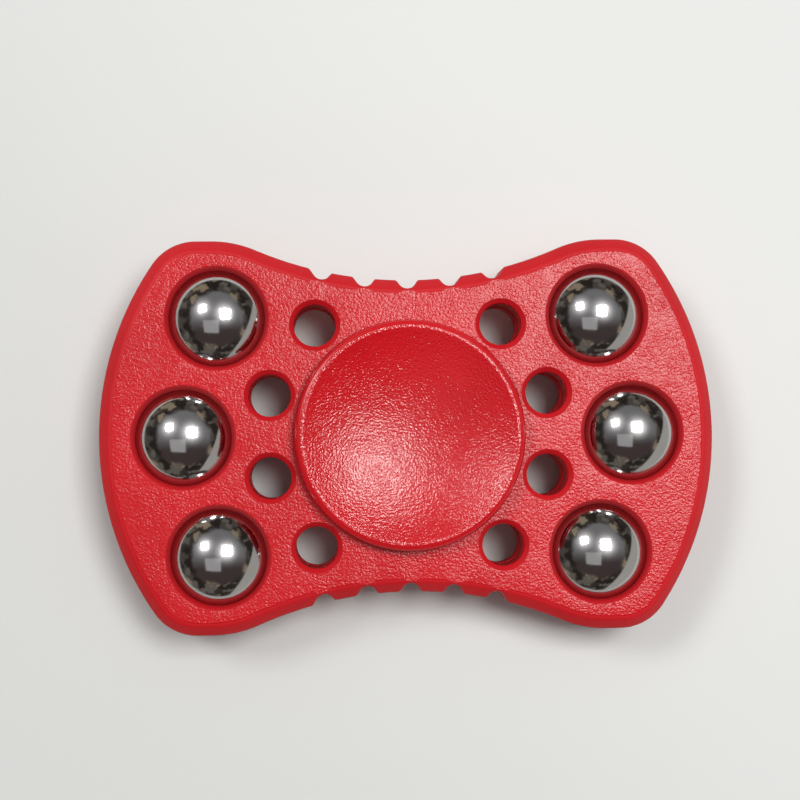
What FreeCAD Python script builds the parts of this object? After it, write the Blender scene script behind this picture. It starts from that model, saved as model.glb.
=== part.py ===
"""Two-winged fidget spinner with a 608 ball bearing, finger caps and six captive steel balls.

Frame: millimetres, origin at the bearing's centre, +X along the wings, +Y across, +Z along the spin
axis. The part is the same above and below the plane Z = 0, apart from two things: the joint pegs stand
on the upper shell, and the bearing's cage is open on its lower side.
"""
import FreeCAD, Part
import math
import os

V = FreeCAD.Vector

# ---- body outline, seen along the spin axis ----
END_R = 35.2            # the round ends are centred on the bearing
WING_Y = 22.45          # half width over the wings
CORNER_R = 6.0          # rounds the wing's flat side into the round end
WAIST_Y = 17.85         # half width in the middle of the waist
WAIST_R = 44.0          # hollow curve of the waist
SHOULDER_R = 12.6       # round curve between the waist and the wing
HALF_H = 4.0            # half the thickness of the body
BEVEL_H = 1.2           # on both rims of the body
BEVEL_W = 1.25
PAST = 1.0              # how far cutters run past the faces they cut

# ---- grip flutes along both long sides ----
FLUTES = 5
FLUTE_PITCH = 4.88
FLUTE_DEPTH = 1.08
FLUTE_R = 1.0
FLUTE_FLARE = math.radians(32.0)

# ---- 608 ball bearing ----
BRG_OUT_R = 11.0
BRG_BORE_R = 4.0
BRG_HALF_W = 3.5
PITCH_R = 7.5
BRG_BALLS = 7
BRG_BALL_R = 1.984
GROOVE_R = 2.03         # section of both raceways
INNER_SHOULDER_R = 6.05
OUTER_SHOULDER_R = 8.85
RING_CORNER = 0.3
SHIELD_SEAT_R = 9.6
SHIELD_SEAT_Z = 2.65
SHIELD_T = 0.3
SHIELD_STEP = 0.12      # the flat round the inner edge stands this much prouder
SHIELD_FLAT = 0.6
SHIELD_BEND = 0.3
SHIELD_FIT = 0.02
SHIELD_GAP = 0.2        # open ring between a shield and the inner ring
CLIP_GROOVE_R = 9.85
CLIP_Z = 3.0
CLIP_T = 0.3
CLIP_FIT = 0.01
CLIP_OUT_R = 9.8
CLIP_IN_R = 9.1
CLIP_OPENING = 1.6
CAGE_IN_R = 6.75
CAGE_OUT_R = 8.3
CAGE_TOP = 2.5
CAGE_BOTTOM = -0.9
POCKET_R = 2.06

# ---- weight balls: 12.7 mm bearing balls, too large for the openings that show them ----
WEIGHT_R = 6.35
WEIGHT_CIRCLE_R = 25.6
WEIGHT_ANGLES = (-31.9, 0.0, 31.9)
SOCKET_GAP = 0.02
OPENING_R = 5.45        # where the opening's sloped wall meets the socket
MOUTH_R = 5.94          # the same wall at the body's face

# ---- through holes ----
HOLE_R = 2.4
HOLE_BEVEL = 0.5
HOLE_CIRCLE_R = 16.5
HOLE_ANGLES = (-49.9, -16.5, 16.5, 49.9)

# ---- bearing seat and joint pegs ----
SEAT_GAP = 0.02
SEAT_LIP_R = 10.3
PEG_R = 1.0
PEG_L = 2.4
PEG_GAP = 0.05
PEG_ROOT = 0.5          # how far a peg is bedded in its shell
PEG_HOLE_SPARE = 0.1    # room past the peg's tip
PEG_SPOTS = ((15.2, 0.0), (6.6, 14.3), (6.6, -14.3), (30.2, 8.7), (30.2, -8.7))

# ---- finger caps ----
CAP_R = 13.05
CAP_TOP = 6.5
CAP_UNDER = 4.5         # underside of the rim, clear of the body's face
CAP_HUB_R = 9.7
CAP_HUB_UNDER = 3.75    # clear of the bearing's outer ring, inside the seat's lip
CAP_SEAT_R = 5.6        # rests on the inner ring
LAND_IN_R = 12.1        # flat ring between the dish and the rounded rim
LAND_OUT_R = 12.35
CAP_UNDER_EDGE = 0.25
DISH_R = 33.0
STUB_R = 4.01           # a press fit in the bearing's bore
STUB_END = 0.2
STUB_CHAMFER = 0.3
STUB_CORE_R = 2.4
STUB_CORE_TOP = 3.1


def at(radius, degrees, z=0.0):
    """Point at a radius and an angle about the spin axis."""
    angle = math.radians(degrees)
    return V(radius * math.cos(angle), radius * math.sin(angle), z)


def disc(radius, low, high, centre=V(0, 0, 0)):
    """Upright round bar between two heights."""
    return Part.makeCylinder(radius, high - low, V(centre.x, centre.y, low))


def cone(low_r, high_r, low, high, centre):
    """Upright cone frustum between two heights."""
    return Part.makeCone(low_r, high_r, high - low, V(centre.x, centre.y, low))


def ball(radius, centre):
    """Ball about a point."""
    return Part.makeSphere(radius, centre)


def revolve(points):
    """Solid of revolution about the spin axis from a closed (radius, z) profile."""
    corners = [V(radius, 0, z) for radius, z in points]
    face = Part.Face(Part.makePolygon(corners + corners[:1]))
    return face.revolve(V(0, 0, 0), V(0, 0, 1), 360)


def flipped(shape):
    """The same shape turned over about the X axis."""
    copy = shape.copy()
    copy.rotate(V(0, 0, 0), V(1, 0, 0), 180)
    return copy


def both_ends(point):
    """A spot on the +X wing and its partner on the -X wing."""
    return (point, V(-point.x, point.y, point.z))


def quarter_curves():
    """Outline from the middle of the +Y side to the +X tip, as (first, middle, last) points."""
    waist = V(0, WAIST_Y + WAIST_R)
    shoulder_y = WING_Y - SHOULDER_R
    reach = WAIST_R + SHOULDER_R
    shoulder = V(math.sqrt(reach ** 2 - (waist.y - shoulder_y) ** 2), shoulder_y)
    turn = math.asin(shoulder.x / reach)
    corner_y = WING_Y - CORNER_R
    corner = V(math.sqrt((END_R - CORNER_R) ** 2 - corner_y ** 2), corner_y)
    side = math.atan2(corner.y, corner.x)

    def on(centre, radius, angle):
        return centre + V(radius * math.cos(angle), radius * math.sin(angle))

    up = math.pi / 2
    waist_arc = [on(waist, WAIST_R, -up + turn * part) for part in (0.0, 0.5, 1.0)]
    shoulder_arc = [on(shoulder, SHOULDER_R, up + turn * part) for part in (1.0, 0.5, 0.0)]
    corner_arc = [on(corner, CORNER_R, up + (side - up) * part) for part in (0.0, 0.5, 1.0)]
    end_arc = [on(V(0, 0), END_R, side * part) for part in (1.0, 0.5, 0.0)]
    return [waist_arc, shoulder_arc, [shoulder_arc[-1], corner_arc[0]], corner_arc, end_arc]


def outline_wire():
    """Closed outline of the body in the plane Z = 0, made of four mirrored quarters."""
    edges = []
    for sign_x, sign_y in ((1, 1), (1, -1), (-1, -1), (-1, 1)):
        curves = quarter_curves()
        for curve in curves:
            spots = [V(sign_x * spot.x, sign_y * spot.y, 0) for spot in curve]
            if len(spots) == 2:
                edges.append(Part.makeLine(*spots))
            else:
                edges.append(Part.Arc(*spots).toShape())
    return Part.Wire(Part.__sortEdges__(edges))


def waist_y(x):
    """Half width of the body at a place along the waist."""
    return WAIST_Y + WAIST_R - math.sqrt(WAIST_R ** 2 - x ** 2)


def flute_cutters():
    """Rounded, flared cutters for the grip flutes on both long sides."""
    cutters = []
    reach = FLUTE_DEPTH + PAST
    for number in range(FLUTES):
        x = (number - (FLUTES - 1) / 2) * FLUTE_PITCH
        middle_y = waist_y(x) - FLUTE_DEPTH + FLUTE_R
        touch_x = FLUTE_R * math.cos(FLUTE_FLARE)
        touch_y = middle_y - FLUTE_R * math.sin(FLUTE_FLARE)
        mouth_x = touch_x + reach * math.tan(FLUTE_FLARE)
        corners = [V(x - touch_x, touch_y), V(x + touch_x, touch_y),
                   V(x + mouth_x, touch_y + reach), V(x - mouth_x, touch_y + reach)]
        face = Part.Face(Part.makePolygon(corners + corners[:1]))
        flare = face.extrude(V(0, 0, HALF_H + PAST))
        cutter = flare.fuse(disc(FLUTE_R, 0.0, HALF_H + PAST, V(x, middle_y, 0)))
        cutters += [cutter, cutter.mirror(V(0, 0, 0), V(0, 1, 0))]
    return cutters


def hole_cutters():
    """Through holes with a bevelled mouth, on both wings."""
    mouth = HOLE_R + HOLE_BEVEL
    cutters = []
    for angle in HOLE_ANGLES:
        for spot in both_ends(at(HOLE_CIRCLE_R, angle)):
            bore = disc(HOLE_R, -PAST, HALF_H + PAST, spot)
            lead = cone(HOLE_R, mouth + HOLE_BEVEL, HALF_H - HOLE_BEVEL, HALF_H + HOLE_BEVEL, spot)
            cutters += [bore, lead]
    return cutters


def socket_cutters():
    """Ball sockets, each opening on the face through a sloped wall that leaves the ball held in."""
    socket_r = WEIGHT_R + SOCKET_GAP
    low = math.sqrt(socket_r ** 2 - OPENING_R ** 2)
    slope = (MOUTH_R - OPENING_R) / (HALF_H - low)
    wide_r = MOUTH_R + slope * PAST
    cutters = []
    for angle in WEIGHT_ANGLES:
        for spot in both_ends(at(WEIGHT_CIRCLE_R, angle)):
            cutters.append(ball(socket_r, spot))
            cutters.append(cone(OPENING_R, wide_r, low, HALF_H + PAST, spot))
    return cutters


def seat_cutters():
    """Half of the bearing's seat, and the opening in the lip that holds the bearing in."""
    seat = disc(BRG_OUT_R + SEAT_GAP, -PAST, BRG_HALF_W)
    opening = disc(SEAT_LIP_R, -PAST, HALF_H + PAST)
    return [seat, opening]


def peg_spots():
    """Where the joint pegs stand, on both wings."""
    return [spot for x, y in PEG_SPOTS for spot in both_ends(V(x, y, 0))]


def shell_blank():
    """Upper half of the body, above Z = 0, without its pegs or peg holes."""
    solid = Part.Face(outline_wire()).extrude(V(0, 0, HALF_H))
    rim = [edge for edge in solid.Edges if abs(edge.CenterOfMass.z - HALF_H) < 1e-6]
    solid = solid.makeChamfer(BEVEL_H, BEVEL_W, rim)
    for cutter in seat_cutters() + hole_cutters() + socket_cutters() + flute_cutters():
        solid = solid.cut(cutter)
    return solid


def upper_shell():
    """Upper half of the body, with the pegs that line the halves up."""
    solid = shell_blank()
    for spot in peg_spots():
        solid = solid.fuse(disc(PEG_R, -PEG_L, PEG_ROOT, spot))
    return solid.removeSplitter()


def lower_shell():
    """Lower half of the body, with the holes for the pegs."""
    solid = flipped(shell_blank())
    for spot in peg_spots():
        solid = solid.cut(disc(PEG_R + PEG_GAP, -PEG_L - PEG_HOLE_SPARE, PAST, spot))
    return solid


def raceway():
    """Ring of round section that cuts both raceways."""
    return Part.makeTorus(PITCH_R, GROOVE_R)


def outer_ring():
    """Outer ring with its raceway, shield seats and clip grooves."""
    profile = [(OUTER_SHOULDER_R, 0.0), (OUTER_SHOULDER_R, SHIELD_SEAT_Z),
               (SHIELD_SEAT_R, SHIELD_SEAT_Z), (SHIELD_SEAT_R, CLIP_Z),
               (CLIP_GROOVE_R, CLIP_Z), (CLIP_GROOVE_R, CLIP_Z + CLIP_T),
               (SHIELD_SEAT_R, CLIP_Z + CLIP_T), (SHIELD_SEAT_R, BRG_HALF_W),
               (BRG_OUT_R - RING_CORNER, BRG_HALF_W), (BRG_OUT_R, BRG_HALF_W - RING_CORNER)]
    mirrored = [(radius, -z) for radius, z in reversed(profile) if z > 0]
    return revolve(profile + mirrored).cut(raceway())


def inner_ring():
    """Inner ring with its raceway."""
    corner_z = BRG_HALF_W - RING_CORNER
    profile = [(BRG_BORE_R, corner_z), (BRG_BORE_R + RING_CORNER, BRG_HALF_W),
               (INNER_SHOULDER_R - RING_CORNER, BRG_HALF_W), (INNER_SHOULDER_R, corner_z)]
    mirrored = [(radius, -z) for radius, z in reversed(profile)]
    return revolve(profile + mirrored).cut(raceway())


def cage():
    """Moulded crown cage: a ring above the balls with claws between them."""
    ring = disc(CAGE_OUT_R, CAGE_BOTTOM, CAGE_TOP).cut(disc(CAGE_IN_R, -HALF_H, HALF_H))
    for number in range(BRG_BALLS):
        ring = ring.cut(ball(POCKET_R, at(PITCH_R, 360.0 * number / BRG_BALLS)))
    return ring


def shield():
    """Thin upper dust shield, whose inner flat stands a little prouder than the rest."""
    inner = INNER_SHOULDER_R + SHIELD_GAP
    outer = SHIELD_SEAT_R - SHIELD_FIT
    flat = inner + SHIELD_FLAT
    bend = flat + SHIELD_BEND
    low = SHIELD_SEAT_Z
    high = low + SHIELD_T
    profile = [(inner, low + SHIELD_STEP), (flat, low + SHIELD_STEP), (bend, low), (outer, low),
               (outer, high), (bend, high), (flat, high + SHIELD_STEP), (inner, high + SHIELD_STEP)]
    return revolve(profile)


def clip():
    """Upper spring clip that holds the shield in: a flat ring with a gap."""
    low = CLIP_Z + CLIP_FIT
    high = CLIP_Z + CLIP_T - CLIP_FIT
    ring = disc(CLIP_OUT_R, low, high).cut(disc(CLIP_IN_R, 0.0, HALF_H))
    corner = V(CLIP_IN_R - PAST, -CLIP_OPENING / 2, 0.0)
    return ring.cut(Part.makeBox(CLIP_OUT_R - CLIP_IN_R + 2 * PAST, CLIP_OPENING, HALF_H, corner))


def cap():
    """Upper finger cap: dished top, rounded rim, seat on the inner ring, and a hollow stub."""
    dish_z = CAP_TOP + math.sqrt(DISH_R ** 2 - LAND_IN_R ** 2)
    profile = [(0.0, STUB_CORE_TOP), (STUB_CORE_R, STUB_CORE_TOP), (STUB_CORE_R, STUB_END),
               (STUB_R - STUB_CHAMFER, STUB_END), (STUB_R, STUB_END + STUB_CHAMFER),
               (STUB_R, BRG_HALF_W), (CAP_SEAT_R, BRG_HALF_W), (CAP_SEAT_R, CAP_HUB_UNDER),
               (CAP_HUB_R, CAP_HUB_UNDER), (CAP_HUB_R, CAP_UNDER),
               (CAP_R - CAP_UNDER_EDGE, CAP_UNDER), (CAP_R, CAP_UNDER + CAP_UNDER_EDGE),
               (CAP_R, CAP_TOP), (0.0, CAP_TOP)]
    solid = revolve(profile)
    rim = [edge for edge in solid.Edges
           if abs(edge.CenterOfMass.z - CAP_TOP) < 1e-6 and edge.Length > math.pi * CAP_R]
    solid = solid.makeFillet(CAP_R - LAND_OUT_R, rim)
    return solid.cut(ball(DISH_R, V(0, 0, dish_z)))


def parts():
    """Every node of the assembly by name."""
    made = {"upper_shell": upper_shell(), "lower_shell": lower_shell()}
    for side, wing in (("right", 1), ("left", -1)):
        for place, angle in zip(("front", "middle", "back"), WEIGHT_ANGLES):
            centre = at(WEIGHT_CIRCLE_R, angle)
            made["weight_ball_%s_%s" % (side, place)] = ball(WEIGHT_R, V(wing * centre.x, centre.y, 0))
    made["bearing_outer_ring"] = outer_ring()
    made["bearing_inner_ring"] = inner_ring()
    made["bearing_cage"] = cage()
    for number in range(BRG_BALLS):
        centre = at(PITCH_R, 360.0 * number / BRG_BALLS)
        made["bearing_ball_%d" % (number + 1)] = ball(BRG_BALL_R, centre)
    made["upper_shield"] = shield()
    made["lower_shield"] = flipped(shield())
    made["upper_shield_clip"] = clip()
    made["lower_shield_clip"] = flipped(clip())
    made["upper_cap"] = cap()
    made["lower_cap"] = flipped(cap())
    return made


os.makedirs("parts", exist_ok=True)
for node, shape in parts().items():
    count = len(shape.Solids)
    print("%-28s %8.2f mm3  solids %d  valid %s" % (node, shape.Volume, count, shape.isValid()))
    shape.Solids[0].exportStep(os.path.join("parts", node + ".step"))
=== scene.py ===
"""Looks of the two-winged fidget spinner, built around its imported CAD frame.

Lengths named here are in millimetres unless they say otherwise, and meshes are made in metres. Sizes that
the frame knows are read from it, and the other dimensions of the part repeat its own driving dimensions.
Roundings, the small edges at the seam, seat and pegs, mesh fineness, colours, lamps, the room and the camera
are this script's own.
"""
import bmesh
import bpy
import math
from mathutils import Matrix, Vector

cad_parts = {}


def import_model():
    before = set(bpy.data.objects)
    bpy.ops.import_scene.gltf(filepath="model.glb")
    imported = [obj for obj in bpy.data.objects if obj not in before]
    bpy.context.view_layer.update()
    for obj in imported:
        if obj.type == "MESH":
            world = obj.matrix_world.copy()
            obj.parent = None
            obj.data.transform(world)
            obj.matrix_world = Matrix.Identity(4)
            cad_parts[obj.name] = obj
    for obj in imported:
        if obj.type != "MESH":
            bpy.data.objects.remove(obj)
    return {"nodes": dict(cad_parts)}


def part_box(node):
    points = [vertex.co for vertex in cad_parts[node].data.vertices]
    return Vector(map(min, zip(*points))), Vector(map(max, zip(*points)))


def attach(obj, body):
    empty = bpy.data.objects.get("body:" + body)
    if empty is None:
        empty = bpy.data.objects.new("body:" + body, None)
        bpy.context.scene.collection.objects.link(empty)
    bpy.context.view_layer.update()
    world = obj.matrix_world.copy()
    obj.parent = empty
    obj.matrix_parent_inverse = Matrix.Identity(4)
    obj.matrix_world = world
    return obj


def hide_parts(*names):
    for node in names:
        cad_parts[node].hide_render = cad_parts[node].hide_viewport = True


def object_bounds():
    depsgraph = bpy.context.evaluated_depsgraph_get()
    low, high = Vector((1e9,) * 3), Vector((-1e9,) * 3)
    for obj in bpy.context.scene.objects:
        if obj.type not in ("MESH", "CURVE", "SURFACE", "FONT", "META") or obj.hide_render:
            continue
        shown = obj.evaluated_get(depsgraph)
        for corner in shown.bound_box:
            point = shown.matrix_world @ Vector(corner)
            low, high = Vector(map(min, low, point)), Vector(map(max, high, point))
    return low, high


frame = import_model()
cad_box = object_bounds()
MM = 0.001


def box_mm(node):
    """Lowest and highest corner of a CAD node, in millimetres."""
    low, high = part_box(node)
    return low / MM, high / MM


# ---- sizes read from the frame ----
shell_low, shell_high = box_mm("upper_shell")
cap_low, cap_high = box_mm("upper_cap")
ball_low, ball_high = box_mm("weight_ball_right_middle")
ring_high = box_mm("bearing_outer_ring")[1]
END_R = shell_high.x
WING_Y = shell_high.y
HALF_H = shell_high.z
PEG_L = -shell_low.z
CAP_R = cap_high.x
CAP_TOP = cap_high.z
STUB_END = cap_low.z
WEIGHT_R = ball_high.z
WEIGHT_CIRCLE_R = (ball_low.x + ball_high.x) / 2
BRG_OUT_R = ring_high.x
BRG_HALF_W = ring_high.z
FLOOR_Z = cad_box[0].z / MM

# ---- body outline and its bevel ----
CORNER_R = 6.0
WAIST_Y = 17.85
WAIST_R = 44.0
SHOULDER_R = 12.6
BEVEL_H = 1.2
BEVEL_W = 1.25
BEVEL_LOW_ROUND = 0.8   # the part's bevel has sharp edges, and here they are rounded
BEVEL_TOP_ROUND = 1.1
SEAM = 0.07             # small chamfer on both halves where they meet

# ---- grip flutes ----
FLUTES = 5
FLUTE_PITCH = 4.88
FLUTE_DEPTH = 1.08
FLUTE_R = 1.0
FLUTE_FLARE = math.radians(32.0)
FLUTE_SOFTEN = 0.12     # rounds the flutes' mouths
FLUTE_SEARCH = 2.0      # a flute's depth is looked for down to here
HALVINGS = 24           # steps of that search

# ---- ball pockets, through holes, bearing seat and pegs ----
SOCKET_GAP = 0.02
OPENING_R = 5.45        # where the opening's sloped wall meets the socket
MOUTH_R = 5.94          # the same wall at the body's face
WEIGHT_ANGLES = (-31.9, 0.0, 31.9)
HOLE_R = 2.4
HOLE_BEVEL = 0.5
HOLE_CIRCLE_R = 16.5
HOLE_ANGLES = (-49.9, -16.5, 16.5, 49.9)
HOLE_ROUND = 0.1
MOUTH_ROUND = 0.08
SEAT_GAP = 0.02
SEAT_LIP_R = 10.3
SEAT_BEVEL = 0.1        # on the lip's edge at the body's face
SEAT_ROUND = 0.05
PEG_R = 1.0
PEG_GAP = 0.05
PEG_HOLE_SPARE = 0.1    # room past the peg's tip
PEG_TIP = 0.2
PEG_ROUND = 0.1
PEG_SPOTS = ((15.2, 0.0), (6.6, 14.3), (6.6, -14.3), (30.2, 8.7), (30.2, -8.7))

# ---- finger caps ----
CAP_UNDER = 4.5
CAP_HUB_R = 9.7
CAP_HUB_UNDER = 3.75
CAP_SEAT_R = 5.6
LAND_IN_R = 12.1        # flat ring between the dish and the rounded rim
LAND_OUT_R = 12.35
CAP_UNDER_EDGE = 0.25
DISH_R = 33.0
CREST_ROUND = 0.45      # where the rim turns into the dish
CAP_ROUND = 0.08        # the cap's other corners
STUB_R = 4.0            # the part's own stub is 0.01 larger, for its press fit
STUB_CHAMFER = 0.3
STUB_CORE_R = 2.4
STUB_CORE_TOP = 3.1

# ---- mesh fineness ----
OUTLINE_STEP = 0.3
WAIST_STEP = 0.07
ROUND_STEPS = 4
SOCKET_STEPS = 24
RIM_STEPS = 10
DISH_STEPS = 48
TURN_PEG = 32
TURN_SMALL = 96
TURN_POCKET = 168
TURN_LARGE = 288
BALL_CUTS = 39
FLOOR_STEPS = 96
SAME_POINT = 1e-4       # outline points nearer than this are one
LEAD = 0.3              # stretch of flat face that leads into a profile's first corner
STRAIGHT = 0.05         # corners that turn by less than this, in radians, aren't rounded
ROUND_SHARE = 0.45      # a rounding takes at most this share of the edges beside it

# ---- body and cap finish ----
RED = (0.530, 0.0065, 0.0120, 1.0)
RED_DEEP = (0.480, 0.0045, 0.0090, 1.0)

# ---- paper that the part lies on ----
FLOOR_R = 1.6           # in metres
PAPER = (0.675, 0.685, 0.665, 1.0)
# painted shade: the paper's colour on its darker side, standing in for less lamp light there
PAPER_PAINTED_SHADE = (0.60, 0.61, 0.59, 1.0)
PAPER_FAR = (0.88, 0.89, 0.87, 1.0)

# ---- lamps and room, as directions from the part and linear colours ----
LARGE_LAMP = (0.262, 0.198, 0.945)
SMALL_LAMP = (-0.494, 0.360, 0.791)
CEILING_GREY = (0.24, 0.24, 0.25, 1.0)
CEILING_DARK = (0.075, 0.055, 0.055, 1.0)
WALL_TONES = ((0.0, (0.03, 0.024, 0.02, 1.0)),
              (0.3, (0.10, 0.088, 0.076, 1.0)),
              (0.5, (0.05, 0.042, 0.038, 1.0)),
              (0.72, (0.17, 0.155, 0.135, 1.0)),
              (0.9, (0.36, 0.29, 0.21, 1.0)))
PANEL_SPOT = (-0.24, -0.31)             # sideways over upwards parts of the direction
PANEL_HALF = (0.31, 0.26)
PANEL_BLUR = 0.02
PANEL_TONE = (0.48, 0.48, 0.49, 1.0)
BOARD_SPOT = (0.714, -0.333, -0.616)
BOARD_TONE = (0.50, 0.49, 0.47, 1.0)
BACKDROP = (0.73, 0.74, 0.72, 1.0)      # what the camera sees past the floor's edge
ROOM_STRENGTH = 1.1

# ---- camera ----
CAMERA_AT = (-10.154, -1.545, 175.0)
CAMERA_TURN = (0.0325, -0.0533, -0.0107)    # in radians, about X, Y and Z, applied in ZYX order
FOCAL_WIDTHS = 1.8826                       # focal length over the width of the view
SENSOR = 36.0


# ---------------------------------------------------------------- shapes
def soften(points, radius, keep=()):
    """A profile with its inner corners rounded. Corners whose index is in keep stay sharp."""
    made = [points[0]]
    for index in range(1, len(points) - 1):
        before, corner, after = (Vector(points[index + shift]) for shift in (-1, 0, 1))
        back, ahead = before - corner, after - corner
        turn = math.pi - back.angle(ahead) if back.length and ahead.length else 0.0
        if index in keep or turn < STRAIGHT:
            made.append(tuple(corner))
            continue
        reach = min(radius * math.tan(turn / 2), ROUND_SHARE * back.length, ROUND_SHARE * ahead.length)
        start = corner + back.normalized() * reach
        end = corner + ahead.normalized() * reach
        for step in range(ROUND_STEPS + 1):
            part = step / ROUND_STEPS
            made.append(tuple(start * (1 - part) ** 2 + corner * 2 * part * (1 - part) + end * part ** 2))
    made.append(points[-1])
    return made


def arc(centre, radius, first, last, steps):
    """Points along an arc, angles in radians."""
    made = []
    for step in range(steps + 1):
        angle = first + (last - first) * step / steps
        made.append((centre[0] + radius * math.cos(angle), centre[1] + radius * math.sin(angle)))
    return made


def outline_columns():
    """Closed outline of the body as (point, inward normal) pairs, finer along the fluted waist."""
    up = math.pi / 2
    shoulder_y = WING_Y - SHOULDER_R
    reach = WAIST_R + SHOULDER_R
    shoulder_x = math.sqrt(reach ** 2 - (WAIST_Y + WAIST_R - shoulder_y) ** 2)
    turn = math.asin(shoulder_x / reach)
    corner_y = WING_Y - CORNER_R
    corner_x = math.sqrt((END_R - CORNER_R) ** 2 - corner_y ** 2)
    side = math.atan2(corner_y, corner_x)
    pieces = [((0.0, WAIST_Y + WAIST_R), WAIST_R, -up, turn - up, WAIST_STEP, 1.0),
              ((shoulder_x, shoulder_y), SHOULDER_R, up + turn, up, OUTLINE_STEP, -1.0),
              ((corner_x, corner_y), CORNER_R, up, side, OUTLINE_STEP, -1.0),
              ((0.0, 0.0), END_R, side, 0.0, OUTLINE_STEP, -1.0)]
    quarter = []
    for centre, radius, first, last, step, facing in pieces:
        count = max(2, round(abs(last - first) * radius / step))
        for spot in map(Vector, arc(centre, radius, first, last, count)):
            inward = (spot - Vector(centre)).normalized() * facing
            if not quarter or (spot - quarter[-1][0]).length > SAME_POINT:
                quarter.append((spot, inward))
    half = quarter + [(Vector((p.x, -p.y)), Vector((n.x, -n.y))) for p, n in reversed(quarter[:-1])]
    other = [(Vector((-p.x, p.y)), Vector((-n.x, n.y))) for p, n in reversed(half[1:-1])]
    return half + other


def in_flute(x, y):
    """Whether a place lies inside one of the flutes' cutters."""
    y = abs(y)
    number = round(x / FLUTE_PITCH)
    if abs(number) > (FLUTES - 1) // 2:
        return False
    middle_x = number * FLUTE_PITCH
    edge_y = WAIST_Y + WAIST_R - math.sqrt(WAIST_R ** 2 - middle_x ** 2)
    middle_y = edge_y - FLUTE_DEPTH + FLUTE_R
    off = abs(x - middle_x)
    if math.hypot(off, y - middle_y) < FLUTE_R:
        return True
    touch_x = FLUTE_R * math.cos(FLUTE_FLARE)
    touch_y = middle_y - FLUTE_R * math.sin(FLUTE_FLARE)
    return y > touch_y and off < touch_x + (y - touch_y) * math.tan(FLUTE_FLARE)


def flute_depths(columns):
    """How deep the flutes cut in at each column of the outline, with softened mouths."""
    raw = []
    for point, inward in columns:
        depth = 0.0
        if in_flute(point.x, point.y):
            inside, outside = 0.0, FLUTE_SEARCH
            for _ in range(HALVINGS):
                middle = (inside + outside) / 2
                spot = point + inward * middle
                if in_flute(spot.x, spot.y):
                    inside = middle
                else:
                    outside = middle
            depth = inside
        raw.append(depth)
    reach = round(FLUTE_SOFTEN / WAIST_STEP)
    count = len(raw)
    return [sum(raw[(index + shift) % count] for shift in range(-reach, reach + 1)) / (2 * reach + 1)
            for index in range(count)]


class Mesher:
    """Collects rings of vertices, in millimetres, into one closed mesh."""

    def __init__(self):
        self.bm = bmesh.new()

    def ring(self, points):
        return [self.bm.verts.new(Vector(point) * MM) for point in points]

    def circle(self, centre, radius, z, turns):
        angles = [2 * math.pi * number / turns for number in range(turns)]
        return self.ring((centre[0] + radius * math.cos(angle), centre[1] + radius * math.sin(angle), z)
                         for angle in angles)

    def bridge(self, first, second):
        count = len(first)
        for index in range(count):
            after = (index + 1) % count
            self.bm.faces.new((first[index], first[after], second[after], second[index]))

    def stack(self, centre, profile, turns):
        """Rings along a (radius, z) profile, bridged in turn. Gives the first and the last ring."""
        rings = [self.circle(centre, radius, z, turns) for radius, z in profile]
        for first, second in zip(rings, rings[1:]):
            self.bridge(first, second)
        return rings[0], rings[-1]

    def fill(self, rings):
        """Flat face between rings that lie in one plane."""
        edges = []
        for ring in rings:
            for index, vert in enumerate(ring):
                edges.append(self.bm.edges.get((vert, ring[(index + 1) % len(ring)])))
        bmesh.ops.triangle_fill(self.bm, use_beauty=True, use_dissolve=False, edges=edges)

    def fan(self, ring, point):
        tip = self.bm.verts.new(Vector(point) * MM)
        for index, vert in enumerate(ring):
            self.bm.faces.new((vert, ring[(index + 1) % len(ring)], tip))

    def make(self, name, turned_over=False):
        """The finished object, smooth shaded with its normals weighted by face area."""
        if turned_over:
            self.bm.transform(Matrix.Rotation(math.pi, 4, "X"))
        bmesh.ops.recalc_face_normals(self.bm, faces=self.bm.faces)
        for face in self.bm.faces:
            face.smooth = True
        mesh = bpy.data.meshes.new(name)
        self.bm.to_mesh(mesh)
        self.bm.free()
        made = bpy.data.objects.new(name, mesh)
        bpy.context.scene.collection.objects.link(made)
        weighted = made.modifiers.new("weighted normals", "WEIGHTED_NORMAL")
        weighted.weight = 80
        return made


def wall_profile(depth):
    """Side of the body at one column: (inset, z) from the seam up to the top face."""
    low_z = HALF_H - BEVEL_H + depth * BEVEL_H / BEVEL_W
    corner = [(depth, low_z / 2), (depth, low_z), (BEVEL_W, HALF_H)]
    low = soften(corner, BEVEL_LOW_ROUND)
    top = soften([low[-2], (BEVEL_W, HALF_H), (BEVEL_W + BEVEL_TOP_ROUND, HALF_H)], BEVEL_TOP_ROUND)
    rise = [(depth + SEAM, 0.0), (depth, SEAM), (depth, low_z / 4)]
    return rise + low[:-1] + top[1:-1]


def pocket_profile():
    """Ball pocket from the top face down to the seam, as (radius, z)."""
    socket_r = WEIGHT_R + SOCKET_GAP
    low = math.sqrt(socket_r ** 2 - OPENING_R ** 2)
    wall = soften([(MOUTH_R + LEAD, HALF_H), (MOUTH_R, HALF_H), (OPENING_R, low)], MOUTH_ROUND)[1:]
    return wall + arc((0.0, 0.0), socket_r, math.asin(low / socket_r), 0.0, SOCKET_STEPS)[1:]


def hole_profile():
    """Through hole from the top face down to the seam."""
    points = [(HOLE_R + HOLE_BEVEL + LEAD, HALF_H), (HOLE_R + HOLE_BEVEL, HALF_H),
              (HOLE_R, HALF_H - HOLE_BEVEL), (HOLE_R, HALF_H / 2), (HOLE_R, 0.0)]
    return soften(points, HOLE_ROUND)[1:]


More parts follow.
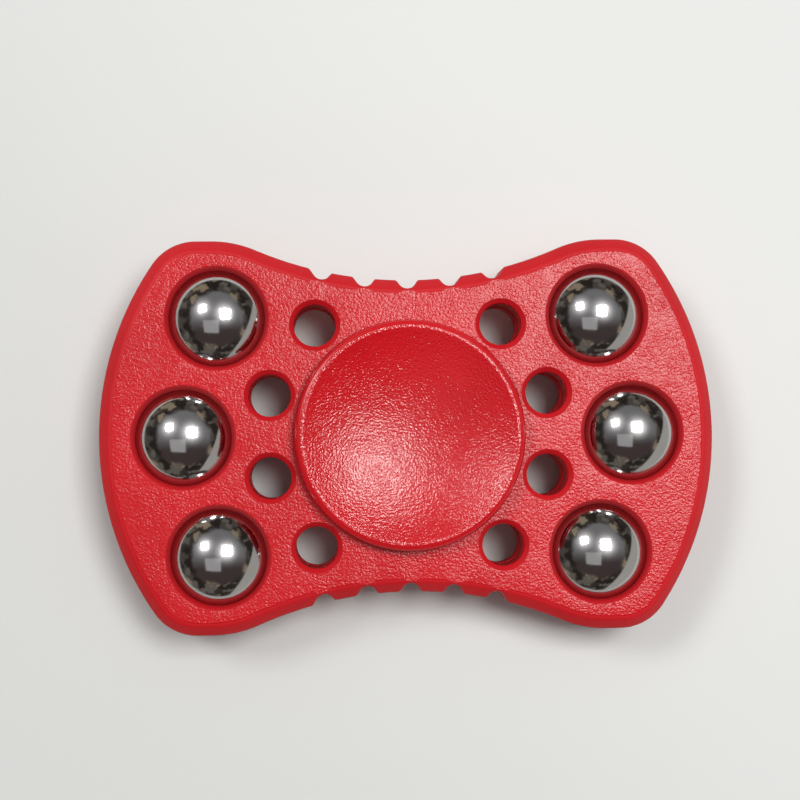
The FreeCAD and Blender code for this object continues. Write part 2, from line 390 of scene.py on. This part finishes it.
def seat_profile():
    """Bearing seat from the top face down to the seam."""
    mouth = SEAT_LIP_R + SEAT_BEVEL
    points = [(mouth + LEAD, HALF_H), (mouth, HALF_H), (SEAT_LIP_R, HALF_H - SEAT_BEVEL),
              (SEAT_LIP_R, BRG_HALF_W), (BRG_OUT_R + SEAT_GAP, BRG_HALF_W), (BRG_OUT_R + SEAT_GAP, 0.0)]
    return soften(points, SEAT_ROUND, keep=(3, 4))[1:]


def around(radius, degrees):
    """Place at a radius and an angle about the spin axis."""
    angle = math.radians(degrees)
    return (radius * math.cos(angle), radius * math.sin(angle))


def on_both_wings(spots):
    """Places on the right wing, each with its mirror image on the left one."""
    return [(wing * x, y) for x, y in spots for wing in (1, -1)]


def body_shell(name, upper):
    """One half of the body. The lower half is the upper one turned over, with peg holes for pegs."""
    mesher = Mesher()
    columns = outline_columns()
    depths = flute_depths(columns)
    profiles = [wall_profile(depth) for depth in depths]
    rings = []
    for level in range(len(profiles[0])):
        points = []
        for (point, inward), profile in zip(columns, profiles):
            inset, z = profile[level]
            spot = point + inward * inset
            points.append((spot.x, spot.y, z))
        rings.append(mesher.ring(points))
    for first, second in zip(rings, rings[1:]):
        mesher.bridge(first, second)
    tops, seams = [rings[-1]], [rings[0]]
    features = [(spot, pocket_profile(), TURN_POCKET)
                for spot in on_both_wings([around(WEIGHT_CIRCLE_R, a) for a in WEIGHT_ANGLES])]
    features += [(spot, hole_profile(), TURN_SMALL)
                 for spot in on_both_wings([around(HOLE_CIRCLE_R, a) for a in HOLE_ANGLES])]
    features.append(((0.0, 0.0), seat_profile(), TURN_LARGE))
    for spot, profile, turns in features:
        top, seam = mesher.stack(spot, profile, turns)
        tops.append(top)
        seams.append(seam)
    if upper:
        peg = soften([(PEG_R, 0.0), (PEG_R, -PEG_L + PEG_TIP), (PEG_R - PEG_TIP, -PEG_L)], PEG_ROUND)
    else:
        peg = [(PEG_R + PEG_GAP, 0.0), (PEG_R + PEG_GAP, PEG_L + PEG_HOLE_SPARE)]
    for spot in on_both_wings(PEG_SPOTS):
        root, tip = mesher.stack(spot, peg, TURN_PEG)
        seams.append(root)
        mesher.fan(tip, (spot[0], spot[1], peg[-1][1]))
    mesher.fill(tops)
    mesher.fill(seams)
    return mesher.make(name, turned_over=not upper)


def finger_cap(name, upper):
    """Dished finger cap with its hub and hollow stub."""
    dish_z = CAP_TOP + math.sqrt(DISH_R ** 2 - LAND_IN_R ** 2)
    edge = CAP_R - LAND_OUT_R
    below = [(STUB_CORE_R, STUB_CORE_TOP), (STUB_CORE_R, STUB_END), (STUB_R - STUB_CHAMFER, STUB_END),
             (STUB_R, STUB_END + STUB_CHAMFER), (STUB_R, BRG_HALF_W), (CAP_SEAT_R, BRG_HALF_W),
             (CAP_SEAT_R, CAP_HUB_UNDER), (CAP_HUB_R, CAP_HUB_UNDER), (CAP_HUB_R, CAP_UNDER),
             (CAP_R - CAP_UNDER_EDGE, CAP_UNDER), (CAP_R, CAP_UNDER + CAP_UNDER_EDGE),
             (CAP_R, CAP_TOP - edge)]
    rim = arc((CAP_R - edge, CAP_TOP - edge), edge, 0.0, math.pi / 2, RIM_STEPS)[1:]
    sweep = math.asin(LAND_IN_R / DISH_R)
    dish = arc((0.0, dish_z), DISH_R, sweep - math.pi / 2, -math.pi / 2, DISH_STEPS)[:-1]
    crest = soften([rim[-2], rim[-1], dish[0], dish[1]], CREST_ROUND)[1:-1]
    profile = soften(below, CAP_ROUND) + rim[:-1] + crest + dish[1:]
    mesher = Mesher()
    first, last = mesher.stack((0.0, 0.0), profile, TURN_LARGE)
    mesher.fan(first, (0.0, 0.0, STUB_CORE_TOP))
    mesher.fan(last, (0.0, 0.0, dish_z - DISH_R))
    return mesher.make(name, turned_over=not upper)


def weight_ball(name, centre):
    """Polished ball from a cube-shaped net of quads, pushed out to its radius."""
    bm = bmesh.new()
    bmesh.ops.create_cube(bm, size=2.0)
    bmesh.ops.subdivide_edges(bm, edges=bm.edges, cuts=BALL_CUTS, use_grid_fill=True)
    for vert in bm.verts:
        warped = Vector(math.tan(value * math.pi / 4) for value in vert.co)
        vert.co = (Vector(centre) + warped.normalized() * WEIGHT_R) * MM
    for face in bm.faces:
        face.smooth = True
    mesh = bpy.data.meshes.new(name)
    bm.to_mesh(mesh)
    bm.free()
    made = bpy.data.objects.new(name, mesh)
    bpy.context.scene.collection.objects.link(made)
    return made


# ---------------------------------------------------------------- materials
class NodeTree:
    """Short names for making nodes in one tree. place is the vector that its patterns are laid out in."""

    def __init__(self, tree, coordinates):
        self.tree = tree
        self.place = self.node("ShaderNodeTexCoord").outputs[coordinates]

    def node(self, kind, **settings):
        made = self.tree.nodes.new(kind)
        for key, value in settings.items():
            setattr(made, key, value)
        return made

    def set(self, socket, value):
        """Puts a number or colour on a socket, or links an output to it."""
        if isinstance(value, bpy.types.NodeSocket):
            self.tree.links.new(value, socket)
        else:
            socket.default_value = value

    def math(self, operation, *values):
        made = self.node("ShaderNodeMath", operation=operation)
        for socket, value in zip(made.inputs, values):
            self.set(socket, value)
        return made.outputs[0]

    def vector_math(self, operation, *values, output="Vector"):
        made = self.node("ShaderNodeVectorMath", operation=operation)
        for socket, value in zip(made.inputs, values):
            self.set(socket, value)
        return made.outputs[output]

    def noise(self, scale, detail=2.0, roughness=0.5, distortion=0.0, output="Fac"):
        made = self.node("ShaderNodeTexNoise")
        self.set(made.inputs["Vector"], self.place)
        for key, value in (("Scale", scale), ("Detail", detail), ("Roughness", roughness),
                           ("Distortion", distortion)):
            made.inputs[key].default_value = value
        return made.outputs[output]

    def ramp(self, value, low, high, to_low=0.0, to_high=1.0, smooth=False):
        """Maps a value from one range to another, clamped."""
        made = self.node("ShaderNodeMapRange")
        made.interpolation_type = "SMOOTHSTEP" if smooth else "LINEAR"
        for socket, number in zip(made.inputs[:5], (value, low, high, to_low, to_high)):
            self.set(socket, number)
        return made.outputs[0]

    def mix(self, factor, first, second):
        """Blends two colours."""
        made = self.node("ShaderNodeMix", data_type="RGBA")
        for index, value in ((0, factor), (6, first), (7, second)):
            self.set(made.inputs[index], value)
        return made.outputs[2]

    def axis(self, vector, name):
        made = self.node("ShaderNodeSeparateXYZ")
        self.set(made.inputs[0], vector)
        return made.outputs[name]


class Surface(NodeTree):
    """The node tree of one new material, with its patterns laid out in the object's own coordinates."""

    def __init__(self, name):
        self.material = bpy.data.materials.new(name)
        self.material.use_nodes = True
        super().__init__(self.material.node_tree, "Object")

    def bump(self, height, distance, under=None):
        """Normal roughened by a height from 0 to 1, over another normal if one is given."""
        made = self.node("ShaderNodeBump")
        made.inputs["Strength"].default_value = 1.0
        made.inputs["Distance"].default_value = distance
        self.set(made.inputs["Height"], height)
        if under is not None:
            self.set(made.inputs["Normal"], under)
        return made.outputs["Normal"]

    def facing(self):
        """How far the surface faces up or down, from 0 to 1."""
        normal = self.node("ShaderNodeTexCoord").outputs["Normal"]
        return self.math("ABSOLUTE", self.axis(normal, "Z"))

    def height(self):
        """Distance from the plane Z = 0, in metres."""
        return self.math("ABSOLUTE", self.axis(self.place, "Z"))

    def radius(self):
        """Distance from the object's Z axis, in metres."""
        across = self.vector_math("MULTIPLY", self.place, (1.0, 1.0, 0.0))
        return self.vector_math("LENGTH", across, output="Value")

    def done(self, **inputs):
        """Sets the shader's inputs, named with _ for spaces, and gives the material."""
        shader = self.tree.nodes["Principled BSDF"]
        for key, value in inputs.items():
            self.set(shader.inputs[key.replace("_", " ")], value)
        return self.material


def red_plastic(name, grain, fineness, grain_mm, rough_grain, rough_smooth, shine):
    """Moulded red plastic. grain(n) is 1 where the mould's texture is and 0 on the smooth bands."""
    n = Surface(name)
    where = grain(n)
    pebbles = n.noise(fineness, detail=1.3)
    unevenness = n.ramp(n.noise(420.0), 0.3, 0.7, 0.7, 1.15)
    texture = n.math("MULTIPLY", pebbles, unevenness)
    bump = n.bump(n.math("MULTIPLY", texture, where), grain_mm * MM)
    bump = n.bump(n.noise(160.0), 0.004 * MM, under=bump)
    shade = n.mix(n.ramp(n.noise(90.0, detail=3.0), 0.35, 0.65), RED_DEEP, RED)
    rough = n.ramp(where, 0.0, 1.0, rough_smooth, rough_grain)
    rough = n.math("ADD", rough, n.ramp(pebbles, 0.3, 0.7, -0.03, 0.03))
    return n.done(Base_Color=shade, Roughness=rough, Normal=bump, IOR=1.5, Specular_IOR_Level=shine)


def body_grain(n):
    """The body's upper and lower faces carry the grain."""
    flat = n.ramp(n.facing(), 0.985, 0.998)
    outer = n.ramp(n.height(), (HALF_H - 0.08) * MM, (HALF_H - 0.03) * MM)
    return n.math("MULTIPLY", flat, outer)


def cap_grain(n):
    """The caps are grained inside the rim's crest."""
    inside = n.ramp(n.radius(), (LAND_OUT_R + 0.05) * MM, (LAND_OUT_R + 0.2) * MM, 1.0, 0.0)
    outer = n.ramp(n.height(), (CAP_UNDER - 0.4) * MM, (CAP_UNDER - 0.38) * MM)
    return n.math("MULTIPLY", inside, outer)


def dimmed(colour, share):
    """A colour at a share of its brightness."""
    return tuple(share * part for part in colour[:3]) + (1.0,)


def polished_steel(name, colour, rough):
    """Polished bearing steel with faint haze and hairline scuffs."""
    n = Surface(name)
    haze = n.noise(260.0, detail=4.0, roughness=0.6, distortion=0.4)
    hairs = n.noise(900.0, detail=6.0, roughness=0.7, distortion=3.0)
    shade = n.mix(n.ramp(haze, 0.3, 0.7), colour, dimmed(colour, 0.93))
    roughness = n.ramp(hairs, 0.35, 0.75, rough * 0.7, rough * 1.6)
    bump = n.bump(hairs, 0.0004 * MM)
    return n.done(Base_Color=shade, Metallic=1.0, Roughness=roughness, Normal=bump)


def ground_steel(name, colour, rough):
    """Ground bearing steel: fine rings about the spin axis."""
    n = Surface(name)
    wave = n.node("ShaderNodeTexWave", wave_type="RINGS", rings_direction="Z")
    n.set(wave.inputs["Vector"], n.place)
    wave.inputs["Scale"].default_value = 4000.0
    wave.inputs["Distortion"].default_value = 2.0
    shade = n.mix(n.noise(400.0, detail=3.0), colour, dimmed(colour, 0.8))
    roughness = n.ramp(wave.outputs["Fac"], 0.0, 1.0, rough * 0.8, rough * 1.2)
    bump = n.bump(wave.outputs["Fac"], 0.001 * MM)
    return n.done(Base_Color=shade, Metallic=1.0, Roughness=roughness, Normal=bump)


def nylon(name):
    """Natural nylon of the bearing's cage, slightly mottled."""
    n = Surface(name)
    shade = n.mix(n.noise(500.0, detail=3.0), (0.72, 0.69, 0.58, 1.0), (0.62, 0.58, 0.47, 1.0))
    bump = n.bump(n.noise(3000.0), 0.01 * MM)
    return n.done(Base_Color=shade, Roughness=0.5, Normal=bump)


# ---------------------------------------------------------------- pieces
def dress(piece, body, material, slot_name, *nodes):
    """Gives a new piece its material and body, in place of CAD nodes. slot_name is not used."""
    piece.data.materials.append(material)
    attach(piece, body)
    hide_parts(*nodes)


def paint(node, material):
    """Gives its material to a CAD node that stays."""
    for slot in frame["nodes"][node].material_slots:
        slot.material = material


body_red = red_plastic("red_grained_body", body_grain, fineness=3900.0, grain_mm=0.080,
                       rough_grain=0.235, rough_smooth=0.55, shine=0.30)
cap_red = red_plastic("red_grained_cap", cap_grain, fineness=4200.0, grain_mm=0.076,
                      rough_grain=0.145, rough_smooth=0.25, shine=0.48)
ball_chrome = polished_steel("polished_ball_steel", (0.51, 0.495, 0.485, 1.0), 0.10)
race_steel = ground_steel("ground_ring_steel", (0.62, 0.62, 0.63, 1.0), 0.25)
sheet_steel = ground_steel("pressed_sheet_steel", (0.70, 0.70, 0.70, 1.0), 0.32)
small_chrome = polished_steel("bearing_ball_steel", (0.72, 0.72, 0.73, 1.0), 0.04)
cage_nylon = nylon("natural_nylon")

dress(body_shell("upper_body", True), "rotor", body_red, "body_plastic", "upper_shell")
dress(body_shell("lower_body", False), "rotor", body_red, "body_plastic", "lower_shell")
dress(finger_cap("upper_finger_cap", True), "grip", cap_red, "cap_plastic", "upper_cap")
dress(finger_cap("lower_finger_cap", False), "grip", cap_red, "cap_plastic", "lower_cap")
for node in sorted(frame["nodes"]):
    if node.startswith("weight_ball_"):
        low, high = box_mm(node)
        piece = weight_ball(node.replace("weight_ball", "weight"), (low + high) / 2)
        dress(piece, "rotor", ball_chrome, "weight_steel", node)
    elif node.startswith("bearing_ball_"):
        paint(node, small_chrome)
for node in ("bearing_outer_ring", "bearing_inner_ring"):
    paint(node, race_steel)
for node in ("upper_shield", "lower_shield", "upper_shield_clip", "lower_shield_clip"):
    paint(node, sheet_steel)
paint("bearing_cage", cage_nylon)


# ---------------------------------------------------------------- stage
def floor():
    """Pale paper under the part, with shade painted across the view, and paler far off, where less light
    falls.
    """
    n = Surface("pale_paper")
    # painted shade: the paper darkens across the view towards one side, standing in for lamp light falling
    # off
    across = n.math("MULTIPLY_ADD", n.axis(n.place, "Y"), 0.8, n.axis(n.place, "X"))
    drift = n.math("MULTIPLY_ADD", n.noise(60.0, detail=3.0), 0.012, across)
    shade = n.mix(n.ramp(drift, -0.06, 0.06, smooth=True), PAPER_PAINTED_SHADE, PAPER)
    shade = n.mix(n.ramp(n.radius(), 0.12, 0.5, smooth=True), shade, PAPER_FAR)
    fibres = n.bump(n.noise(1400.0, detail=4.0, roughness=0.6), 0.02 * MM)
    material = n.done(Base_Color=shade, Roughness=0.75, Normal=fibres)
    bm = bmesh.new()
    bmesh.ops.create_circle(bm, cap_ends=True, segments=FLOOR_STEPS, radius=FLOOR_R)
    mesh = bpy.data.meshes.new("floor")
    bm.to_mesh(mesh)
    bm.free()
    made = bpy.data.objects.new("floor", mesh)
    made.location = (0.0, 0.0, FLOOR_Z * MM)
    made.data.materials.append(material)
    bpy.context.scene.collection.objects.link(made)


def lamp(name, towards, distance, size, power):
    """Square soft lamp above the part, aimed at it, its sides along X and Y as seen from below.

    distance and size are in metres and power is in watts.
    """
    data = bpy.data.lights.new(name, "AREA")
    data.shape = "SQUARE"
    data.size = size
    data.energy = power
    made = bpy.data.objects.new(name, data)
    facing = Vector(towards).normalized()
    made.location = facing * distance
    side = Vector((1.0, 0.0, 0.0))
    side = (side - facing * side.dot(facing)).normalized()
    made.rotation_euler = Matrix((side, facing.cross(side), facing)).transposed().to_euler()
    bpy.context.scene.collection.objects.link(made)


class Room(NodeTree):
    """The node tree of the world, with its patterns laid out by direction from the part."""

    def __init__(self):
        surroundings = bpy.data.worlds.new("room")
        surroundings.use_nodes = True
        bpy.context.scene.world = surroundings
        super().__init__(surroundings.node_tree, "Generated")

    def towards(self, direction):
        """Cosine of the angle between a ray and a direction."""
        return self.vector_math("DOT_PRODUCT", self.place, Vector(direction).normalized(), output="Value")

    def glow(self, direction, power, strength):
        """Soft glow round a direction, narrower at a higher power."""
        ahead = self.math("MAXIMUM", self.towards(direction), 0.0)
        return self.math("MULTIPLY", self.math("POWER", ahead, power), strength)

    def patches(self, scale, stops):
        """Patches of constant colour with ragged edges, picked at random from the stops."""
        wander = self.noise(5.0, detail=4.0, output="Color")
        spot = self.vector_math("MULTIPLY_ADD", wander, (0.35, 0.35, 0.35), self.place)
        cells = self.node("ShaderNodeTexVoronoi", distance="CHEBYCHEV")
        self.set(cells.inputs["Vector"], spot)
        cells.inputs["Scale"].default_value = scale
        pick = self.node("ShaderNodeValToRGB")
        pick.color_ramp.interpolation = "CONSTANT"
        elements = pick.color_ramp.elements
        while len(elements) < len(stops):
            elements.new(0.5)
        for element, (position, colour) in zip(elements, stops):
            element.position = position
            element.color = colour
        self.set(pick.inputs[0], self.axis(cells.outputs["Color"], "X"))
        return pick.outputs[0]

    def overhead(self, spot, half, blur):
        """1 inside a soft-edged rectangle on a flat ceiling, and 0 outside it."""
        steep = self.math("MAXIMUM", self.axis(self.place, "Z"), 0.1)
        inside = []
        for name, middle, reach in zip("XY", spot, half):
            sideways = self.math("DIVIDE", self.axis(self.place, name), steep)
            off = self.math("ABSOLUTE", self.math("SUBTRACT", sideways, middle))
            inside.append(self.ramp(off, reach - blur, reach + blur, 1.0, 0.0))
        return self.math("MULTIPLY", *inside)


def world():
    """Room that the steel balls mirror. The camera itself sees a plain backdrop in its place.

    Its ceiling darkens towards the front, its walls are patchy, a grey panel hangs overhead, a pale board
    stands low on the right, and each lamp has a glow round it.
    """
    r = Room()
    walls = r.patches(scale=4.2, stops=WALL_TONES)
    ceiling = r.mix(r.ramp(r.axis(r.place, "Y"), -0.45, 0.15, smooth=True), CEILING_DARK, CEILING_GREY)
    rise = r.math("MULTIPLY_ADD", r.noise(3.0, detail=3.0, roughness=0.6), 0.34, r.axis(r.place, "Z"))
    scene = r.mix(r.ramp(rise, 0.62, 0.78, smooth=True), walls, ceiling)
    scene = r.mix(r.overhead(PANEL_SPOT, PANEL_HALF, PANEL_BLUR), scene, PANEL_TONE)
    scene = r.mix(r.ramp(r.towards(BOARD_SPOT), 0.46, 0.475), scene, BOARD_TONE)
    large_glow = r.glow(LARGE_LAMP, power=28.0, strength=1.7)
    small_glow = r.glow(SMALL_LAMP, power=38.0, strength=1.3)
    lit = r.vector_math("ADD", scene, r.math("ADD", large_glow, small_glow))
    seen = r.node("ShaderNodeLightPath").outputs["Is Camera Ray"]
    background = r.tree.nodes["Background"]
    r.set(background.inputs["Color"], r.mix(seen, lit, BACKDROP))
    background.inputs["Strength"].default_value = ROOM_STRENGTH


def camera():
    """Camera almost straight above the part."""
    data = bpy.data.cameras.new("camera")
    data.sensor_width = SENSOR
    data.lens = SENSOR * FOCAL_WIDTHS
    data.clip_start = 0.01
    data.clip_end = 10.0
    made = bpy.data.objects.new("camera", data)
    made.location = Vector(CAMERA_AT) * MM
    made.rotation_mode = "ZYX"
    made.rotation_euler = CAMERA_TURN
    bpy.context.scene.collection.objects.link(made)
    bpy.context.scene.camera = made


floor()
lamp("large_lamp", LARGE_LAMP, distance=0.65, size=0.228, power=2.75)
lamp("small_lamp", SMALL_LAMP, distance=1.4, size=0.34, power=5.5)
world()
camera()
bpy.context.scene.view_settings.view_transform = "Standard"
